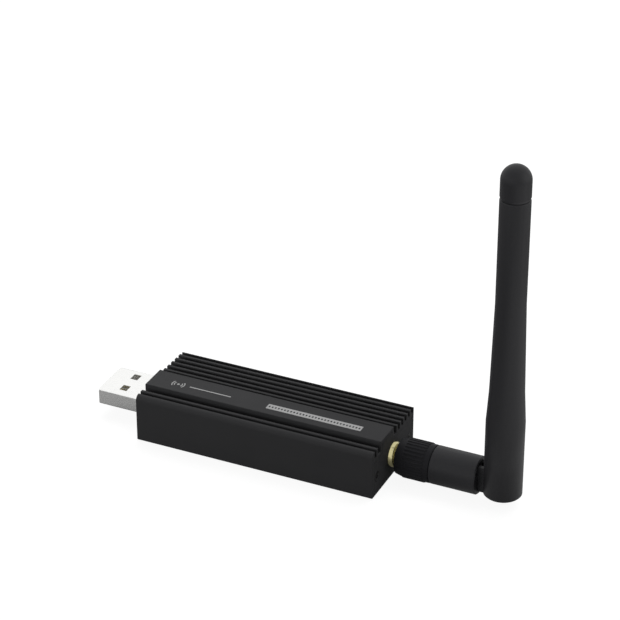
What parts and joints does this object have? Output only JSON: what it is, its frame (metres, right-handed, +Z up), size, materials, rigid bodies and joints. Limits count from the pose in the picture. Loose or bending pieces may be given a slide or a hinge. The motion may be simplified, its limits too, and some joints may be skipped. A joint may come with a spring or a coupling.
{
  "type": "usb radio stick with fold-over antenna",
  "caption": "Finned aluminium USB radio stick for a smart home hub, with a screw-on whip antenna that swivels and folds.",
  "frame": {"origin": "middle of the housing's flat bottom face", "axes": "+X along the stick from the USB plug to the antenna, +Y across it to the finely ribbed side, +Z up"},
  "size_m": [0.112, 0.0254, 0.0901],
  "materials": {
    "anodised_black": "matt black anodised",
    "tinned_steel": "bright tinned sheet steel",
    "screw_black": "black oxide",
    "gold_brass": "bright gold plate",
    "contact_gold": "gold plate",
    "black_plastic": "fine satin, black ABS",
    "white_plastic": "moulded thermoplastic",
    "ptfe": "smooth PTFE",
    "board_green": "solder mask over glass-epoxy",
    "chip_black": "moulded epoxy",
    "can_metal": "tinned sheet",
    "led_clear": "clear epoxy",
    "ceramic_tan": "fired ceramic",
    "spring_steel": "spring temper",
    "cable_brown": "smooth fluoropolymer jacket",
    "copper": "bare copper"
  },
  "bodies": {
    "stick": {"housing_extrusion": "anodised_black", "usb_end_plate": "anodised_black", "antenna_end_plate": "anodised_black", "end_plate_screws": "screw_black", "usb_shell": "tinned_steel", "usb_insulator": "white_plastic", "usb_contacts": "contact_gold", "circuit_board": "board_green", "radio_shield_can": "can_metal", "radio_chip": "chip_black", "radio_crystal": "can_metal", "usb_bridge_chip": "chip_black", "voltage_regulator": "chip_black", "status_leds": "led_clear", "chip_capacitors": "ceramic_tan", "chip_resistors": "chip_black", "boot_switch_case": "chip_black", "antenna_jack_body": "gold_brass", "antenna_jack_insulator": "ptfe", "antenna_jack_contact": "contact_gold"},
    "switch_plunger": {"boot_button": "white_plastic"},
    "antenna_plug": {"antenna_plug_body": "gold_brass", "antenna_plug_insulator": "ptfe", "antenna_plug_pin": "contact_gold", "swivel_clip": "spring_steel"},
    "coupling": {"coupling_nut": "gold_brass", "coupling_grip": "black_plastic"},
    "barrel": {"antenna_barrel": "black_plastic", "antenna_cable": "cable_brown"},
    "upright": {"upright_cover": "black_plastic", "upright_cap": "black_plastic", "dipole_sleeve": "copper", "whip_conductor": "copper"}
  },
  "joints": [
    {"name": "antenna_draw", "type": "slide", "parent": "stick", "child": "antenna_plug", "axis": [1, 0, 0], "range_m": [0, 0.00493]},
    {"name": "coupling_turn", "type": "hinge", "parent": "antenna_plug", "child": "coupling", "pos_m": [0.0385, 0, 0.00576], "axis": [1, 0, 0], "range_deg": [0, 2520]},
    {"name": "antenna_swivel", "type": "hinge", "parent": "antenna_plug", "child": "barrel", "pos_m": [0.048, 0, 0.00576], "axis": [1, 0, 0], "continuous": true},
    {"name": "antenna_tilt", "type": "hinge", "parent": "barrel", "child": "upright", "pos_m": [0.06075, 0, 0.00576], "axis": [0, 1, 0], "range_deg": [0, 90], "deforming": ["antenna_cable"]},
    {"name": "boot_press", "type": "slide", "parent": "stick", "child": "switch_plunger", "axis": [0, 0, -1], "range_m": [0, 0.00025], "stiffness_N_per_m": 200}
  ],
  "couplings": [
    {"joint": "coupling_turn", "follows": "antenna_draw", "rad_per_m": 8904.7}
  ]
}
